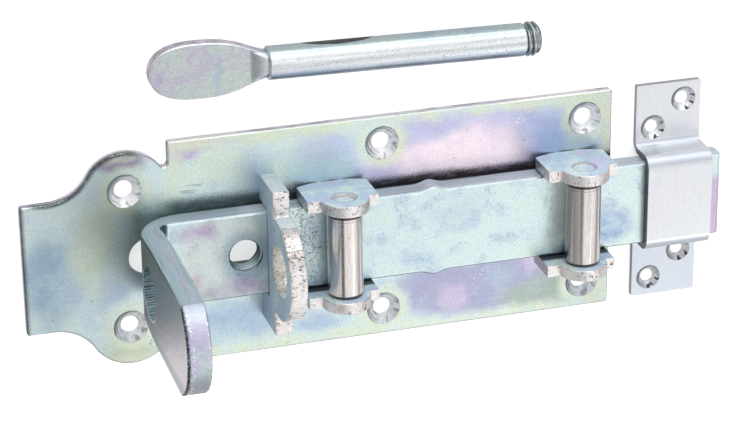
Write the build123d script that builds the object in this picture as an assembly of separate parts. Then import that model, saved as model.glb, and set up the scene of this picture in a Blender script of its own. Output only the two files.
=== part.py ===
from build123d import *
import math
import os

# Heavy padlock bolt with roller bridges, keeper and screw-in turn handle.
# Millimetres, +Z out of the mounting face, X along the bolt (it shoots towards +X),
# Y across the base plate. Drawn about the centre of the base plate's rectangle, then moved
# so that the origin is the centre of the four screw holes beside the bolt, on the back face.
ORIGIN_X = 56.85

# ---- base plate ----
PL_T = 3.0            # sheet thickness
PL_X0, PL_X1 = -103.0, 103.0
PL_HALF = 40.0        # half width of the wide part
STEP_X = -53.0        # where the wide part ends
TAIL_HALF = 23.0      # half width of the tail
EAR_X, EAR_Y, EAR_R = -67.7, 23.5, 14.7      # round ears at the step
EAR_FIL = 16.0        # hollow fillet from the tail into the ear
NOTCH_R = 1.5         # small fillet at the bottom of the notch
HOLE_R = 3.0          # screw holes
CSK_R, CSK_D = 5.75, 2.4
HOLES = [(-68.0, 24.6), (20.5, 30.7), (93.2, 30.7)]
SLOT_X0, SLOT_X1, SLOT_R = -67.7, 12.0, 7.0

# ---- sliding bolt ----
B_HALF = 15.0         # half width of the bar
B_Z0, B_T = 4.0, 8.0  # running gap over the plate, bar thickness
B_Z1 = B_Z0 + B_T
B_X0, B_X1 = -66.5, 140.6
B_RO, B_RI = 16.0, 3.0                       # bend radii: round outside, nearly sharp inside
B_EDGE = 1.0          # rolled edge radius of the bar
TIP_CH = 1.2          # bevel round the bolt's tip
# outline of the flange above the bend (y, z): spread a little by the bending, and not quite even
FL_UPPER = [(15.0, 15.0), (15.65, 28.0), (15.75, 46.0), (14.7, 74.3)]
FL_TOP = (0.3, 82.4)
FL_LOWER = [(-18.2, 70.2), (-17.7, 46.0), (-16.7, 28.0), (-15.0, 15.0)]
TAP_X, TAP_R = -30.0, 6.0                    # threaded hole, at its major diameter
PAD_Y, PAD_Z, PAD_R = -1.0, 29.0, 9.0        # padlock hole in the flange
BUMP_X, BUMP_L, BUMP_H = 36.0, 12.0, 1.25    # swellings on both edges that stop the bolt

# ---- padlock staple ----
ST_X, ST_T = -22.4, 5.8
ST_Y = -1.2
ST_LEG, ST_LEG_Z = 25.9, 20.0
ST_R, ST_RZ = 17.3, 23.9
ST_HOLE_R, ST_HOLE_Y, ST_HOLE_Z = 9.0, -0.7, 27.2
ST_GAP, ST_GAP_Z = 15.7, 12.7

# ---- roller bridges ----
BR_X = [1.9, 86.6]
E_Y0, E_T = 15.5, 4.0                        # inner face of an ear, ear thickness
E_HALF, E_STUB_Z = 12.2, 19.4                # half length, top of the stubs
NOSE_R, NOSE_Z = 8.3, 19.1
PIN_DX = 0.7                                 # nose and pin sit a little off the ear's middle
PIN_R, PIN_Z = 4.0, 18.6
PIN_SINK = {"left": 1.5, "right": 0.5}         # how deep the pins' ends lie in the ears
E_FLAT, E_LIFT_R = 3.5, 25.0                 # welded flat on the plate, radius of the lifted wings
RO_R, RO_CLR, RO_HALF = 6.0, 0.06, 15.0

# ---- keeper ----
K_X0, K_X1 = 112.5, 136.2
K_Y = 0.0
K_T = 2.2
K_HALF = 39.7
K_IN, K_IN_Z = 15.3, 12.7                    # inside of the box
K_HOLE_R, K_CSK_R, K_CSK_D = 2.25, 4.3, 1.9
K_DX, K_Y_IN, K_Y_OUT = 5.5, 23.8, 33.1      # staggered holes

# ---- turn handle ----
H_R = 5.65                                  # turned shank; the rolled thread stands 0.3 mm proud of it
H_Z = 5.95                                  # height of its axis, lying on the thread's crests
H_TURN, H_AX, H_AY = -1.17, -45.0, 65.4      # lies slightly askew beside the plate
H_TIP, H_FLAT, H_NECK, H_THREAD, H_END = -59.2, -25.6, -19.8, 68.7, 74.4
H_CORE = 5.1                                 # thread core
H_BLADE_T = 4.6


def cyl(r, p0, direction, length):
    return extrude(Plane(origin=p0, z_dir=direction) * Circle(r), length)


def cone_hole(x, y, z_top, r, r_out, depth, t):
    hole = cyl(r, (x, y, z_top - t - 1), (0, 0, 1), t + 2)
    pl = Plane(origin=(x, y, 0), x_dir=(1, 0, 0), z_dir=(0, -1, 0))
    slope = (r_out - r) / depth
    prof = pl * Polygon((0, z_top - depth - 0.01), (r, z_top - depth), (r_out + slope * 1.0, z_top + 1.0), (0, z_top + 1.0), align=None)
    return hole + revolve(prof, Axis((x, y, 0), (0, 0, 1)), 360)


def near(a, b, tol=0.02):
    return abs(a - b) < tol


def save(shape, name):
    solids = shape.solids()
    solids = [Pos(-ORIGIN_X, 0, 0) * one for one in solids]
    out = solids[0] if len(solids) == 1 else Compound(children=list(solids))
    out.label = name
    export_step(out, f"parts/{name}.step")
    bb = out.bounding_box()
    print(name, len(solids), round(out.volume, 1),
          [round(v, 2) for v in (bb.min.X, bb.min.Y, bb.min.Z, bb.max.X, bb.max.Y, bb.max.Z)])


os.makedirs("parts", exist_ok=True)

# ================= base plate =================
wide = Pos((STEP_X + PL_X1) / 2, 0) * Rectangle(PL_X1 - STEP_X, 2 * PL_HALF)
tail = Pos((PL_X0 + STEP_X + 1) / 2, 0) * Rectangle(STEP_X + 1 - PL_X0, 2 * TAIL_HALF)
plate2d = wide + tail
fc_y = TAIL_HALF + EAR_FIL
fc_x = EAR_X - math.sqrt((EAR_R + EAR_FIL) ** 2 - (fc_y - EAR_Y) ** 2)
k = EAR_R / (EAR_R + EAR_FIL)
t2 = (EAR_X + (fc_x - EAR_X) * k, EAR_Y + (fc_y - EAR_Y) * k)
nc_x = STEP_X - NOTCH_R
nc_y = EAR_Y + math.sqrt((EAR_R + NOTCH_R) ** 2 - (nc_x - EAR_X) ** 2)
kn = EAR_R / (EAR_R + NOTCH_R)
n2 = (EAR_X + (nc_x - EAR_X) * kn, EAR_Y + (nc_y - EAR_Y) * kn)
for s in (1, -1):
    plate2d += Pos(EAR_X, s * EAR_Y) * Circle(EAR_R)
    pts = [(fc_x, s * TAIL_HALF), (t2[0], s * t2[1]), (EAR_X, s * EAR_Y), (EAR_X, s * 18.0), (fc_x, s * 18.0)]
    fill = make_face(Polyline(*pts, close=True)) - Pos(fc_x, s * fc_y) * Circle(EAR_FIL)
    plate2d += fill
    pts = [(STEP_X + 0.5, s * EAR_Y), (STEP_X + 0.5, s * nc_y), (nc_x, s * nc_y), (n2[0], s * n2[1]), (EAR_X, s * EAR_Y)]
    fill = make_face(Polyline(*pts, close=True)) - Pos(nc_x, s * nc_y) * Circle(NOTCH_R)
    plate2d += fill
base = extrude(plate2d, PL_T)
# soften the long outer corners seen from the front
corners = [e for e in base.edges().filter_by(Axis.Z)
           if near(abs(e.center().Y), PL_HALF) or near(e.center().X, PL_X0)]
base = fillet(corners, 0.8)
slot = Pos((SLOT_X0 + SLOT_X1) / 2, 0) * SlotOverall(SLOT_X1 - SLOT_X0, 2 * SLOT_R)
base -= Pos(0, 0, -1) * extrude(slot, PL_T + 2)
rim = [e for e in base.edges() if near(e.center().Z, PL_T) and (
    near(abs(e.center().Y), PL_HALF) or near(e.center().X, PL_X1) or near(e.center().X, PL_X0))]
base = chamfer(rim, 0.3)
for hx, hy in HOLES:
    for s in (1, -1):
        base -= cone_hole(hx, s * hy, PL_T, HOLE_R, CSK_R, CSK_D, PL_T)
save(base, "base_plate")

# ================= sliding bolt =================
side_view = Plane(origin=(0, 22, 0), x_dir=(1, 0, 0), z_dir=(0, -1, 0))
with BuildLine() as bl:
    Line((B_X1, B_Z0), (B_X0 + B_RO, B_Z0))
    RadiusArc((B_X0 + B_RO, B_Z0), (B_X0, B_Z0 + B_RO), B_RO)
    Line((B_X0, B_Z0 + B_RO), (B_X0, 90))
    Line((B_X0, 90), (B_X0 + B_T, 90))
    Line((B_X0 + B_T, 90), (B_X0 + B_T, B_Z1 + B_RI))
    RadiusArc((B_X0 + B_T, B_Z1 + B_RI), (B_X0 + B_T + B_RI, B_Z1), -B_RI)
    Line((B_X0 + B_T + B_RI, B_Z1), (B_X1, B_Z1))
    Line((B_X1, B_Z1), (B_X1, B_Z0))
bar = extrude(side_view * make_face(bl.line), 44)
# end view of the flange, and plan of the bar with its swellings
with BuildLine() as ev:
    Line((-B_HALF, 0), (B_HALF, 0))
    Line((B_HALF, 0), FL_UPPER[0])
    Spline(*FL_UPPER, tangents=[(0, 1), (-0.09, 1)])
    ThreePointArc(FL_UPPER[-1], FL_TOP, FL_LOWER[0])
    Spline(*FL_LOWER, tangents=[(0.01, -1), (0, -1)])
    Line(FL_LOWER[-1], (-B_HALF, 0))
keep = extrude(Plane(origin=(B_X0 - 5, 0, 0), x_dir=(0, 1, 0), z_dir=(1, 0, 0)) * make_face(ev.line), 10 - B_X0 + 5)
b0, b1 = BUMP_X - BUMP_L / 2, BUMP_X + BUMP_L / 2
with BuildLine() as pv:
    Line((10, -B_HALF), (10, B_HALF))
    Line((10, B_HALF), (b0, B_HALF))
    Spline((b0, B_HALF), (BUMP_X, B_HALF + BUMP_H), (b1, B_HALF), tangents=[(1, 0), (1, 0), (1, 0)])
    Line((b1, B_HALF), (B_X1 + 5, B_HALF))
    Line((B_X1 + 5, B_HALF), (B_X1 + 5, -B_HALF))
    Line((B_X1 + 5, -B_HALF), (b1, -B_HALF))
    Spline((b1, -B_HALF), (BUMP_X, -B_HALF - BUMP_H), (b0, -B_HALF), tangents=[(-1, 0), (-1, 0), (-1, 0)])
    Line((b0, -B_HALF), (10, -B_HALF))
keep += extrude(make_face(pv.line), 15)
bar = bar & keep
# rolled edges along both sides, rounded rim of the flange's end
side_faces = [f for f in bar.faces() if abs(f.normal_at().Y) > 0.9]
touching = [e for f in side_faces for e in f.edges()]
long_edges = []
for n, e in enumerate(touching):
    c = e.center()
    shared = sum(1 for other in touching if (other.center() - c).length < 0.001)
    if shared == 1 and not near(c.X, B_X1) and e.bounding_box().size.Y < 3 and e.length > 0.5 and not (
            e.bounding_box().size.X < 8.5 and e.bounding_box().size.X > 7.5 and c.Z > 60):
        long_edges.append(e)
bar = fillet(long_edges, B_EDGE)
cap_edges = [e for e in bar.edges() if e.center().Z > 72 and e.bounding_box().size.X < 0.05 and e.bounding_box().size.Y > 20]
bar = fillet(cap_edges, 0.7)
for z, d in ((B_Z1, -1), (B_Z0, 1)):
    wedge = make_face(Polyline((B_X1 - TIP_CH, z), (B_X1 - TIP_CH, z - d), (B_X1 + 1, z - d), (B_X1 + 1, z + d * (TIP_CH + 1)), close=True))
    bar -= Plane(origin=(0, 30, 0), x_dir=(1, 0, 0), z_dir=(0, -1, 0)) * extrude(wedge, 60)
bar -= cyl(TAP_R, (TAP_X, 0, B_Z0 - 1), (0, 0, 1), B_T + 2)
bar -= cyl(PAD_R, (B_X0 - 1, PAD_Y, PAD_Z), (1, 0, 0), B_T + 2)
save(bar, "sliding_bolt")

# ================= padlock staple =================
yz = Plane(origin=(ST_X, 0, 0), x_dir=(0, 1, 0), z_dir=(1, 0, 0))
st2 = Pos(ST_Y, (PL_T + ST_LEG_Z) / 2) * Rectangle(2 * ST_LEG, ST_LEG_Z - PL_T)
st2 += Pos(ST_Y, ST_RZ) * Circle(ST_R)
below = Pos(0, PL_T - 20) * Rectangle(80, 40)
st2 -= below
st2 -= Pos(0, (PL_T + ST_GAP_Z) / 2 - 1) * Rectangle(2 * ST_GAP, ST_GAP_Z - PL_T + 2)
st2 -= Pos(ST_HOLE_Y, ST_HOLE_Z) * Circle(ST_HOLE_R)
staple = extrude(yz * st2, ST_T)
inner = [e for e in staple.edges().filter_by(Axis.X)
         if near(e.center().Z, ST_GAP_Z) or (near(e.center().Z, ST_LEG_Z))]
staple = fillet(inner, 0.8)
face_edges = [e for e in staple.edges()
              if (near(e.center().X, ST_X) or near(e.center().X, ST_X + ST_T)) and e.center().Z > PL_T + 0.5]
staple = fillet(face_edges, 0.35)
save(staple, "padlock_staple")

# ================= roller bridges =================
names = ["left", "right"]
for name, bx in zip(names, BR_X):
    for side, s in (("top", 1), ("bottom", -1)):
        lift = PL_T + (E_HALF ** 2 - E_FLAT ** 2) / (2 * E_LIFT_R)
        mid_x = (E_HALF + E_FLAT) / 2
        mid_z = PL_T + (mid_x ** 2 - E_FLAT ** 2) / (2 * E_LIFT_R)
        nz = NOSE_Z
        nose_x = math.sqrt(NOSE_R ** 2 - (E_STUB_Z - nz) ** 2)
        with BuildLine() as el:
            Line((-E_FLAT, PL_T), (E_FLAT, PL_T))
            ThreePointArc((E_FLAT, PL_T), (mid_x, mid_z), (E_HALF, lift))
            Line((E_HALF, lift), (E_HALF, E_STUB_Z))
            Line((E_HALF, E_STUB_Z), (PIN_DX + nose_x, E_STUB_Z))
            ThreePointArc((PIN_DX + nose_x, E_STUB_Z), (PIN_DX, nz + NOSE_R), (PIN_DX - nose_x, E_STUB_Z))
            Line((PIN_DX - nose_x, E_STUB_Z), (-E_HALF, E_STUB_Z))
            Line((-E_HALF, E_STUB_Z), (-E_HALF, lift))
            ThreePointArc((-E_HALF, lift), (-mid_x, mid_z), (-E_FLAT, PL_T))
        pl = Plane(origin=(bx, s * E_Y0 if s > 0 else -(E_Y0 + E_T) , 0), x_dir=(1, 0, 0), z_dir=(0, -1, 0))
        ear = extrude(pl * make_face(el.line), -E_T)
        ear -= cyl(PIN_R, (bx + PIN_DX, -40, PIN_Z), (0, 1, 0), 80)
        soft = [e for e in ear.edges()
                if (near(abs(e.center().Y), E_Y0) or near(abs(e.center().Y), E_Y0 + E_T))
                and e.center().Z > PIN_Z + 2]
        ear = fillet(soft, 0.4)
        save(ear, f"{name}_bridge_{side}_ear")
    half = E_Y0 + E_T - PIN_SINK[name]
    pin = cyl(PIN_R, (bx + PIN_DX, -half, PIN_Z), (0, 1, 0), 2 * half)
    pin = chamfer(pin.edges().filter_by(GeomType.CIRCLE), 0.4)
    save(pin, f"{name}_roller_pin")
    roller = cyl(RO_R, (bx + PIN_DX, -RO_HALF, PIN_Z), (0, 1, 0), 2 * RO_HALF)
    roller -= cyl(PIN_R + RO_CLR, (bx + PIN_DX, -RO_HALF - 1, PIN_Z), (0, 1, 0), 2 * RO_HALF + 2)
    rim = [e for e in roller.edges().filter_by(GeomType.CIRCLE) if near(e.radius, RO_R)]
    roller = chamfer(rim, 0.5)
    save(roller, f"{name}_roller")

# ================= keeper =================
yk = Plane(origin=(K_X0, K_Y, 0), x_dir=(0, 1, 0), z_dir=(1, 0, 0))
ow, oz = K_IN + K_T, K_IN_Z + K_T
outer = FilletPolyline((K_HALF, K_T), (ow, K_T), (ow, oz), (-ow, oz), (-ow, K_T), (-K_HALF, K_T),
                       radius=[2.2, 4.5, 4.5, 2.2])
innerl = FilletPolyline((-K_HALF, 0), (-K_IN, 0), (-K_IN, K_IN_Z), (K_IN, K_IN_Z), (K_IN, 0), (K_HALF, 0),
                        radius=[4.4, 2.3, 2.3, 4.4])
side1 = Line((-K_HALF, K_T), (-K_HALF, 0))
side2 = Line((K_HALF, 0), (K_HALF, K_T))
kf = make_face([*outer.edges(), side1, *innerl.edges(), side2])
keeper = extrude(yk * kf, K_X1 - K_X0)
kc = [e for e in keeper.edges().filter_by(Axis.Z) if near(abs(e.center().Y - K_Y), K_HALF)]
keeper = fillet(kc, 0.5)
kx = (K_X0 + K_X1) / 2
for x, y in ((kx + K_DX, K_Y + K_Y_OUT), (kx - K_DX, K_Y + K_Y_IN), (kx + K_DX, K_Y - K_Y_IN), (kx - K_DX, K_Y - K_Y_OUT)):
    keeper -= cone_hole(x, y, K_T, K_HOLE_R, K_CSK_R, K_CSK_D, K_T)
save(keeper, "keeper")

# ================= turn handle =================
shaft = cyl(H_R, (H_NECK, 0, 0), (1, 0, 0), H_THREAD - H_NECK)
sh_end = [e for e in shaft.edges().filter_by(GeomType.CIRCLE) if near(e.center().X, H_NECK)]
shaft = chamfer(sh_end, 0.6)
core = cyl(H_CORE, (H_THREAD - 1, 0, 0), (1, 0, 0), H_END - H_THREAD + 1)
end_edge = [e for e in core.edges().filter_by(GeomType.CIRCLE) if near(e.center().X, H_END)]
core = chamfer(end_edge, 0.6)
half_pts = [(-56.6, 6.0), (-50.9, 8.8), (-42.6, 9.55), (-34.5, 9.0), (-28.6, 7.5), (-23.6, 5.5), (-18.5, 4.0)]
with BuildLine() as bl2:
    rim_line = Spline(*[(x, -y) for x, y in reversed(half_pts)], (-58.5, -3.4), (H_TIP, 0), (-58.5, 3.4), *half_pts)
    Line(rim_line @ 1, rim_line @ 0)
blade = Pos(0, 0, -H_BLADE_T / 2) * extrude(make_face(bl2.line), H_BLADE_T)
rim = [e for e in blade.edges() if near(abs(e.center().Z), H_BLADE_T / 2, 0.01) and e.bounding_box().size.X > 20]
blade = fillet(rim, 0.6)
# the forged neck: thickens from the flat to the round shank
s1 = Plane(origin=(H_FLAT, 0, 0), z_dir=(1, 0, 0), x_dir=(0, 1, 0)) * RectangleRounded(12.4, H_BLADE_T - 0.3, 1.4)
s2 = Plane(origin=(H_NECK + 0.8, 0, 0), z_dir=(1, 0, 0), x_dir=(0, 1, 0)) * RectangleRounded(8.2, 7.6, 3.0)
neck = loft([s1, s2])
handle = blade + neck + shaft + core
handle = Pos(H_AX, H_AY, H_Z) * Rot(0, 0, H_TURN) * Pos(-H_AX, 0, 0) * handle
save(handle, "turn_handle")
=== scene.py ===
import math

import bmesh
import bpy
from mathutils import Matrix, Vector


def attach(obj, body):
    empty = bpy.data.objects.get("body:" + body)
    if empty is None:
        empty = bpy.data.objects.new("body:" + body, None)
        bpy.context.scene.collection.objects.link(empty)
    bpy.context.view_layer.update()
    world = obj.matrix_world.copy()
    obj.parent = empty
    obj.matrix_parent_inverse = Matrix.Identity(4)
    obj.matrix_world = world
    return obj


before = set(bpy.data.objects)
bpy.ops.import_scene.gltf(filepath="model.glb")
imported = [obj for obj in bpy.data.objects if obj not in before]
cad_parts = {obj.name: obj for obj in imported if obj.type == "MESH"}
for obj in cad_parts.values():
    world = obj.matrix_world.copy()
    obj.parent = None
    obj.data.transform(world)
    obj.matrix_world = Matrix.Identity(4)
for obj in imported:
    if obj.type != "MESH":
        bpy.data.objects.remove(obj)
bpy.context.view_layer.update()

MM = 0.001
OX = 56.85                      # the part is measured about the plate's middle, the frame about its screws


def row(x, y, z):
    """millimetres about the plate's middle -> metres in the row frame"""
    return Vector(((x - OX) * MM, y * MM, z * MM))


def srgb(r, g, b):
    def lin(c):
        c /= 255.0
        return c / 12.92 if c <= 0.04045 else ((c + 0.055) / 1.055) ** 2.4
    return (lin(r), lin(g), lin(b), 1.0)


# ------------------------------------------------------------------ material kit
class Mat:
    """Short helper that writes a node tree."""

    def __init__(self, name):
        self.mat = bpy.data.materials.new(name)
        self.mat.use_nodes = True
        self.tree = self.mat.node_tree
        self.tree.nodes.clear()
        tex = self.node("ShaderNodeTexCoord")
        geo = self.node("ShaderNodeNewGeometry")
        self.obj = tex.outputs["Object"]
        self.p = self.vmath("SCALE", self.obj, scale=1000.0)          # millimetres, row frame
        self.normal = tex.outputs["Normal"]
        self.pointiness = geo.outputs["Pointiness"]

    def node(self, kind, **kw):
        n = self.tree.nodes.new(kind)
        for k, v in kw.items():
            setattr(n, k, v)
        return n

    def put(self, sock, v):
        if isinstance(v, bpy.types.NodeSocket):
            self.tree.links.new(v, sock)
        elif v is not None:
            sock.default_value = v

    def math(self, op, a, b=None, c=None, clamp=False):
        n = self.node("ShaderNodeMath", operation=op, use_clamp=clamp)
        for i, v in enumerate((a, b, c)):
            if v is not None:
                self.put(n.inputs[i], v)
        return n.outputs[0]

    def vmath(self, op, a, b=None, scale=None):
        n = self.node("ShaderNodeVectorMath", operation=op)
        self.put(n.inputs[0], a)
        if b is not None:
            self.put(n.inputs[1], b)
        if scale is not None:
            n.inputs["Scale"].default_value = scale
        return n.outputs["Value"] if op in ("LENGTH", "DOT_PRODUCT", "DISTANCE") else n.outputs[0]

    def xyz(self, v):
        n = self.node("ShaderNodeSeparateXYZ")
        self.put(n.inputs[0], v)
        return n.outputs

    def noise(self, vec, scale, detail=2.0, rough=0.5, dist=0.0, offset=(0, 0, 0), color=False):
        if offset != (0, 0, 0):
            vec = self.vmath("ADD", vec, offset)
        n = self.node("ShaderNodeTexNoise")
        self.put(n.inputs["Vector"], vec)
        n.inputs["Scale"].default_value = scale
        n.inputs["Detail"].default_value = detail
        n.inputs["Roughness"].default_value = rough
        n.inputs["Distortion"].default_value = dist
        return n.outputs["Color"] if color else n.outputs["Fac"]

    def voronoi(self, vec, scale, feature="F1", rand=1.0, out="Distance"):
        n = self.node("ShaderNodeTexVoronoi", feature=feature)
        self.put(n.inputs["Vector"], vec)
        n.inputs["Scale"].default_value = scale
        n.inputs["Randomness"].default_value = rand
        return n.outputs[out]

    def remap(self, v, a, b, c=0.0, d=1.0, smooth=True):
        n = self.node("ShaderNodeMapRange", interpolation_type="SMOOTHSTEP" if smooth else "LINEAR", clamp=True)
        self.put(n.inputs["Value"], v)
        n.inputs["From Min"].default_value = a
        n.inputs["From Max"].default_value = b
        n.inputs["To Min"].default_value = c
        n.inputs["To Max"].default_value = d
        return n.outputs[0]

    def ramp(self, fac, stops, mode="LINEAR"):
        n = self.node("ShaderNodeValToRGB")
        n.color_ramp.interpolation = mode
        el = n.color_ramp.elements
        while len(el) < len(stops):
            el.new(0.5)
        for e, (pos, col) in zip(el, stops):
            e.position = pos
            e.color = col
        self.put(n.inputs[0], fac)
        return n.outputs[0]

    def mix(self, fac, a, b, mode="MIX"):
        n = self.node("ShaderNodeMix", data_type="RGBA", blend_type=mode)
        n.clamp_result = False
        self.put(n.inputs["Factor"], fac)
        self.put(n.inputs[6], a)
        self.put(n.inputs[7], b)
        return n.outputs[2]

    def blob(self, cx, cy, rx, ry, soft=1.0, cz=None, rz=None, turn=0.0):
        """1 in the middle of an ellipse about (cx, cy) in mm, 0 outside; a z range if cz is given"""
        v = self.vmath("SUBTRACT", self.warped, (cx - OX, cy, cz or 0.0))
        if turn:
            n = self.node("ShaderNodeVectorRotate", rotation_type="Z_AXIS")
            self.put(n.inputs["Vector"], v)
            n.inputs["Angle"].default_value = -math.radians(turn)
            v = n.outputs[0]
        v = self.vmath("MULTIPLY", v, (1.0 / rx, 1.0 / ry, 1.0 / rz if rz else 0.0))
        return self.remap(self.vmath("LENGTH", v), 1.0, 1.0 - soft)

    def warp(self, scale, amount):
        """positions stirred by noise, so that patches have soft uneven outlines"""
        n = self.noise(self.p, scale, 2.0, color=True)
        n = self.vmath("SUBTRACT", n, (0.5, 0.5, 0.5))
        self.warped = self.vmath("ADD", self.p, self.vmath("SCALE", n, scale=amount))

    def add(self, *vals):
        out = vals[0]
        for v in vals[1:]:
            out = self.math("ADD", out, v)
        return out

    def mul(self, a, b):
        return self.math("MULTIPLY", a, b)

    def finish(self, color, rough, height=None, bump=0.2, dist=0.0002, metallic=1.0, normal=None):
        b = self.node("ShaderNodeBsdfPrincipled")
        self.put(b.inputs["Base Color"], color)
        self.put(b.inputs["Roughness"], rough)
        self.put(b.inputs["Metallic"], metallic)
        b.inputs["IOR"].default_value = 1.5
        if height is not None:
            n = self.node("ShaderNodeBump")
            n.inputs["Strength"].default_value = bump
            n.inputs["Distance"].default_value = dist
            self.put(n.inputs["Height"], height)
            self.put(b.inputs["Normal"], n.outputs[0])
        out = self.node("ShaderNodeOutputMaterial")
        self.put(out.inputs["Surface"], b.outputs[0])
        return self.mat


# interference colours of the thin passivation film, thin to thick
FILM = [
    (0.00, srgb(222, 230, 208)),
    (0.18, srgb(216, 232, 220)),
    (0.36, srgb(212, 230, 233)),
    (0.54, srgb(188, 208, 226)),
    (0.70, srgb(200, 200, 230)),
    (0.86, srgb(236, 224, 238)),
    (1.00, srgb(246, 234, 243)),
]


def grain(m, size=1.6, amount=1.0):
    """fine crystalline grain of the plating: (colour factor, height)"""
    a = m.noise(m.p, size, 2.0, 0.7)
    b = m.noise(m.p, size * 2.2, 2.0, 0.6, offset=(13, 7, 5))
    g = m.math("ADD", m.mul(a, 0.5), m.mul(b, 0.5))
    return m.remap(g, 0.32, 0.68, 1.0 - 0.15 * amount, 1.0 + 0.10 * amount, smooth=False), g


def pits(m, cell=0.45, size=0.30, keep=0.80, stretch=(1, 1, 1), offset=(0, 0, 0)):
    """small dark pits scattered over a surface, 1 = pit"""
    v = m.vmath("MULTIPLY", m.vmath("ADD", m.p, offset), stretch)
    d = m.voronoi(v, cell)
    spot = m.remap(d, size, size * 0.5)
    where = m.remap(m.noise(m.p, cell * 0.9, 2.0, offset=(31, 17, 3)), keep - 0.14, keep, smooth=False)
    return m.mul(spot, where)


def tone(m, color, factor):
    """multiplies a colour by a value"""
    c = m.node("ShaderNodeCombineColor")
    for i in range(3):
        m.put(c.inputs[i], factor)
    return m.mix(1.0, color, c.outputs[0], "MULTIPLY")


# ------------------------------------------------------------------ materials
HOLES = [(-68, 24.6), (20.5, 30.7), (93.2, 30.7)]


def hole_distance(m, centres):
    """distance in mm from the nearest hole's axis"""
    best = None
    for cx, cy in centres:
        v = m.vmath("SUBTRACT", m.p, (cx - OX, cy, 0.0))
        d = m.vmath("LENGTH", m.vmath("MULTIPLY", v, (1.0, 1.0, 0.0)))
        best = d if best is None else m.math("MINIMUM", best, d)
    return best


def countersink(m, centres, r_out, col, rough, h, spokes=0.0):
    """turned cone of a countersunk hole: pale, with thin uneven dark rings, painted shade on its upper left and a few
    painted dark reflection spokes on its lower right
    """
    d = hole_distance(m, centres)
    inside = m.remap(d, r_out + 0.12, r_out - 0.12)
    n = m.noise(m.p, 0.30, 2.0, 0.6, offset=(7, 7, 7))
    fine = m.noise(m.p, 1.3, 2.0, 0.6, offset=(9, 1, 7))
    ring = m.math("SINE", m.mul(m.add(d, m.mul(n, 1.6)), 2 * math.pi / 1.35))
    tint = m.ramp(m.add(n, m.mul(m.math("SUBTRACT", fine, 0.5), 0.2)),
                  [(0.32, srgb(206, 220, 226)), (0.46, srgb(250, 252, 253)), (0.58, srgb(246, 242, 249)), (0.74, srgb(212, 222, 232))])
    col = m.mix(m.mul(inside, 0.95), col, tint)
    # where round the cone a point lies: 1 at the upper left, -1 at the lower right
    lean, turn = None, None
    for cx, cy in centres:
        v = m.vmath("SUBTRACT", m.p, (cx - OX, cy, 0.0))
        near_it = m.remap(m.vmath("LENGTH", m.vmath("MULTIPLY", v, (1.0, 1.0, 0.0))), r_out + 1.5, r_out + 1.0)
        one = m.mul(m.vmath("DOT_PRODUCT", v, (-0.75 / r_out, 0.65 / r_out, 0.0)), near_it)
        vx, vy, vz = m.xyz(v)
        ang = m.mul(m.math("ARCTAN2", vy, vx), near_it)
        lean = one if lean is None else m.add(lean, one)
        turn = ang if turn is None else m.add(turn, ang)
    # painted shade: the rim line and the rings darken towards the upper left of the cone
    where = m.remap(m.add(lean, m.mul(m.math("SUBTRACT", n, 0.5), 3.0)), -0.6, 0.8, 0.10, 1.0)
    line = m.mul(m.remap(m.math("ABSOLUTE", m.math("SUBTRACT", d, r_out)), 0.40, 0.06), where)
    inner = m.mul(m.remap(ring, 0.45, 0.90), m.mul(inside, m.mul(where, 0.70)))
    # painted shade crescent on the upper left of the cone
    crescent = m.mul(m.mul(m.remap(m.add(lean, m.mul(m.math("SUBTRACT", n, 0.5), 0.8)), 0.25, 0.80), inside), m.remap(d, r_out * 0.55, r_out * 0.80))
    col = m.mix(m.mul(crescent, 0.70), col, srgb(108, 124, 130))
    col = m.mix(m.mul(m.math("MAXIMUM", line, inner), 0.90), col, srgb(62, 74, 80))
    # painted dark reflection spokes on the lower right of the cone
    if spokes:
        ray = m.math("SINE", m.add(m.mul(turn, 7.0), m.mul(n, 9.0)))
        ray = m.mul(m.mul(m.remap(ray, 0.35, 0.85), m.remap(lean, -0.15, -0.55)), m.remap(d, r_out * 0.62, r_out * 0.8))
        col = m.mix(m.mul(m.mul(ray, inside), spokes), col, srgb(40, 42, 46))
    rough = m.math("ADD", m.mul(rough, m.math("SUBTRACT", 1.0, inside)), m.mul(inside, 0.52))
    h = m.add(m.mul(h, m.math("SUBTRACT", 1.0, m.mul(inside, 0.6))), m.mul(m.mul(ring, inside), 0.25))
    return col, rough, h


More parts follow.
